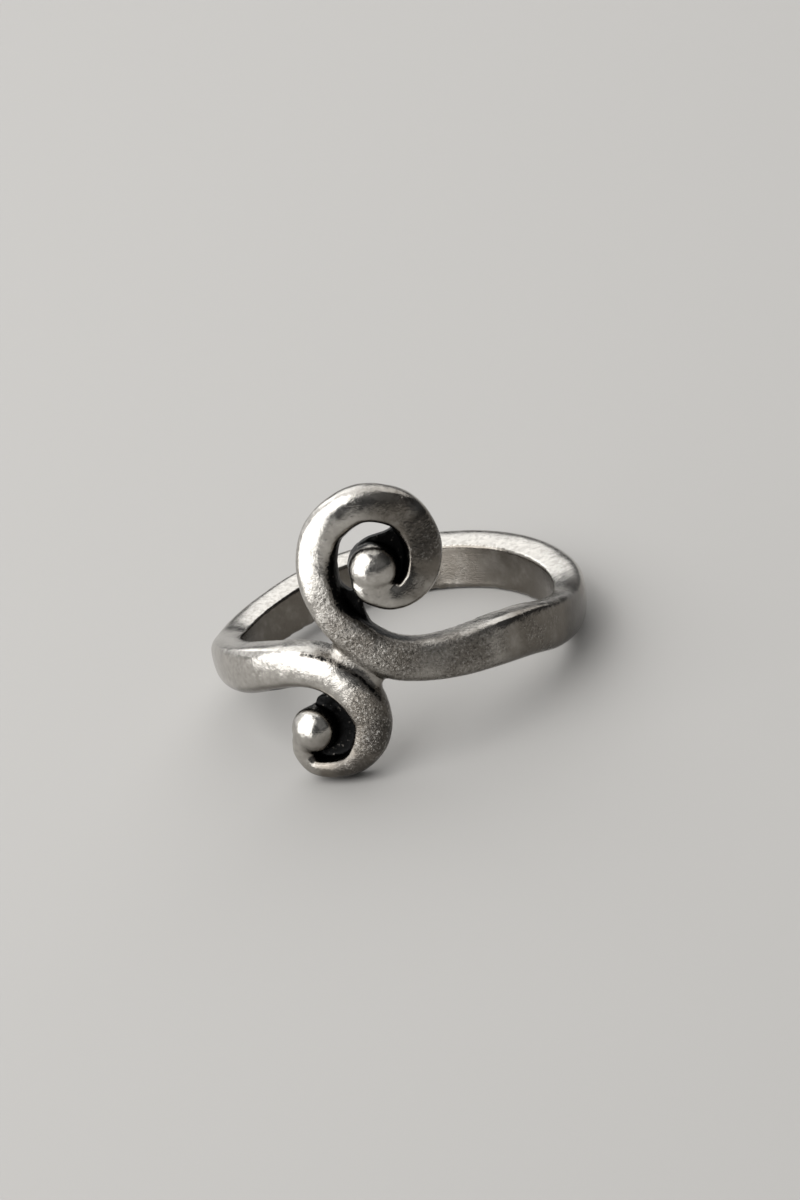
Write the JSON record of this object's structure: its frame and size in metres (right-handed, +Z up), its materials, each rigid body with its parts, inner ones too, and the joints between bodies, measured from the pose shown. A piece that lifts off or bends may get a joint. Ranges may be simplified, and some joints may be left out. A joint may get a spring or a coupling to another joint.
{
  "type": "spiral ring",
  "caption": "Open-fronted silver finger ring whose band ends cross at the front and curl into spirals that end in balls.",
  "frame": {"origin": "under the middle of the ring's box, on the surface that it lies on", "axes": "+Z up from the surface, -Y towards the front with the spirals, +X to the right as the front is looked at"},
  "size_m": [0.0206, 0.022, 0.0154],
  "materials": {
    "silver": "sterling silver, oxidised black in the recesses and worn bright on the high places"
  },
  "bodies": {
    "root": {"spiral_ring": "silver"}
  },
  "joints": []
}
